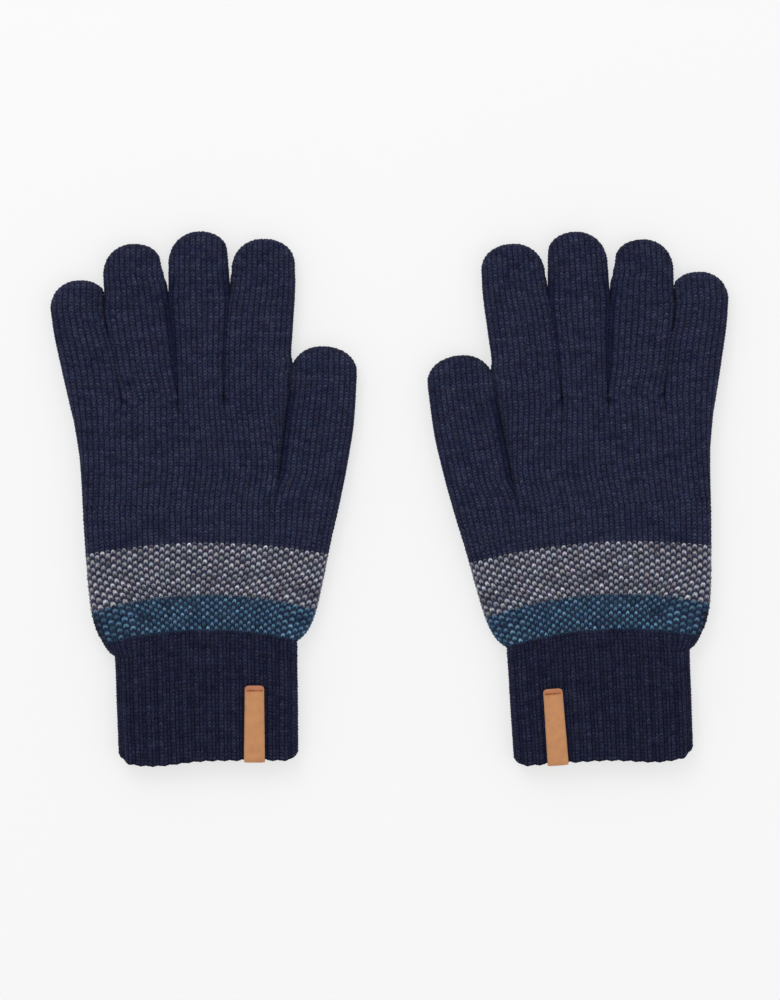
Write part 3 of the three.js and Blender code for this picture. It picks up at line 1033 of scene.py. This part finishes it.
def stitch_parts():
    """A row of short threads sewn across the top of the label."""
    parts = []
    pitch = STITCH_ROW / STITCHES
    t = np.linspace(0, math.pi, 9)
    ring = np.linspace(0, 2 * math.pi, 10, endpoint=False)
    along = -np.cos(t) * pitch * STITCH_SHARE / 2
    thick = THREAD_RADIUS * np.sin(t) ** 0.5 + THREAD_END
    line = LABEL["top"] - STITCH_LINE + STITCH_SLANT * along
    height = STITCH_HEIGHT + STITCH_ARCH * np.sin(t)
    for i in range(STITCHES):
        grid = np.zeros((len(t), len(ring), 3))
        grid[..., 0] = (LABEL["centre"] + (i - (STITCHES - 1) / 2) * pitch + along)[:, None]
        grid[..., 1] = line[:, None] + thick[:, None] * np.cos(ring)
        grid[..., 2] = height[:, None] + thick[:, None] * 0.8 * np.sin(ring)
        # Each stitch is darkened towards its ends, where it sinks into the leather: painted shade.
        colours = np.broadcast_to(RUST * (0.85 + 0.15 * np.sin(t))[:, None, None], grid.shape)
        parts.append(gridded(grid, colours))
    return parts


def joint_middle(digit):
    """Level of the digit's middle fold in the glove's own frame."""
    origin, _, along = glove_place("left")
    fold = next(j for j in frame["joints"] if j["name"] == f"left_{digit}_fold")
    return float((np.array(fold["pos_m"]) - origin) @ along) * 1000


wool = yarn_material("wool_yarn")
leather = leather_material()
thread = yarn_material("rust_thread", 0.7)

shared = {
    "cuff": cuff_parts(),
    "blue_band": band_parts(BLUE_COURSES, CUFF_TOP, BLUE_TOP, BLUE, SEEDS["blue_band"]),
    "grey_band": band_parts(GREY_COURSES, BLUE_TOP, GREY_TOP, GREY, SEEDS["grey_band"]),
    "hand": hand_parts(),
    "label": label_parts(),
    "label_stitch": stitch_parts(),
}
middles = {digit: joint_middle(digit) for digit in DIGITS}
digits = {digit: digit_parts(digit, middles[digit]) for digit in DIGITS}

for side in ("left", "right"):
    for part in ("hand", "blue_band", "grey_band"):
        piece = make_object(side, part, shared[part], wool, weld=part == "hand")
        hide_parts(f"{side}_{part}")
        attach(piece, f"{side}_hand")
    cuff = make_object(side, "cuff", shared["cuff"], wool)
    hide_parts(f"{side}_cuff")
    wrist_start = level_point(side, WRIST_BEND[0])
    wrist_end = level_point(side, WRIST_BEND[1])
    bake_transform(cuff)
    for part, material in (("label", leather), ("label_stitch", thread)):
        piece = make_object(side, part, shared[part], material)
        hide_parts(f"{side}_{part}")
        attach(piece, f"{side}_cuff")
    for digit, (lower, upper) in digits.items():
        start = level_point(side, DIGITS[digit]["root"])
        rigid = level_point(side, middles[digit] - SPLIT_BELOW_FOLD - 1)
        piece = make_object(side, f"{digit}_lower", lower, wool)
        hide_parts(f"{side}_{digit}_lower")
        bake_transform(piece)
        below = level_point(side, middles[digit] - FOLD_REACH)
        above = level_point(side, middles[digit] + FOLD_REACH)
        piece = make_object(side, f"{digit}_upper", upper, wool, weld=True)
        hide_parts(f"{side}_{digit}_upper")
        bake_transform(piece)

# -------- floor, light and camera


def make_floor():
    """A pale floor that glows a little, as on a light table."""
    bpy.ops.mesh.primitive_plane_add(size=6, location=(0, 0, -0.0002))
    floor = bpy.context.object
    floor.name = "floor"
    material = bpy.data.materials.new("pale_floor")
    material.use_nodes = True
    shader = material.node_tree.nodes["Principled BSDF"]
    set_inputs(shader, Base_Color=(FLOOR_GREY, FLOOR_GREY, FLOOR_GREY, 1), Roughness=0.9,
               Emission_Color=(1, 1, 1, 1), Emission_Strength=FLOOR_GLOW)
    floor.data.materials.append(material)
    return floor


def make_world(strength):
    world = bpy.data.worlds.new("studio")
    world.use_nodes = True
    set_inputs(world.node_tree.nodes["Background"], Color=(1, 1, 1, 1), Strength=strength)
    scene.world = world


def area_light(name, location, size, power):
    """A square light aimed at the middle of the gloves."""
    data = bpy.data.lights.new(name, "AREA")
    data.size = size
    data.energy = power
    light = bpy.data.objects.new(name, data)
    light.location = location
    tilt = math.atan2(math.hypot(location[0], location[1]), location[2])
    heading = math.atan2(-location[1], -location[0]) - math.pi / 2
    light.rotation_euler = (tilt, 0, heading)
    scene.collection.objects.link(light)


def look_down(centre):
    """The camera, straight above a point of the floor."""
    data = bpy.data.cameras.new("camera")
    data.sensor_fit = "VERTICAL"
    data.sensor_height = SENSOR
    data.lens = SENSOR * (CAMERA_HEIGHT - MIDDLE / 1000) / VIEW_HEIGHT
    data.clip_end = 20
    camera = bpy.data.objects.new("camera", data)
    camera.location = (*centre, CAMERA_HEIGHT)
    scene.collection.objects.link(camera)
    scene.camera = camera


floor = make_floor()
make_world(WORLD_LIGHT)
area_light("key", **KEY_LIGHT)
area_light("fill", **FILL_LIGHT)
left_hem = glove_place("left")[0]
look_down(left_hem[:2] + VIEW_OFFSET)
scene.view_settings.view_transform = "Standard"
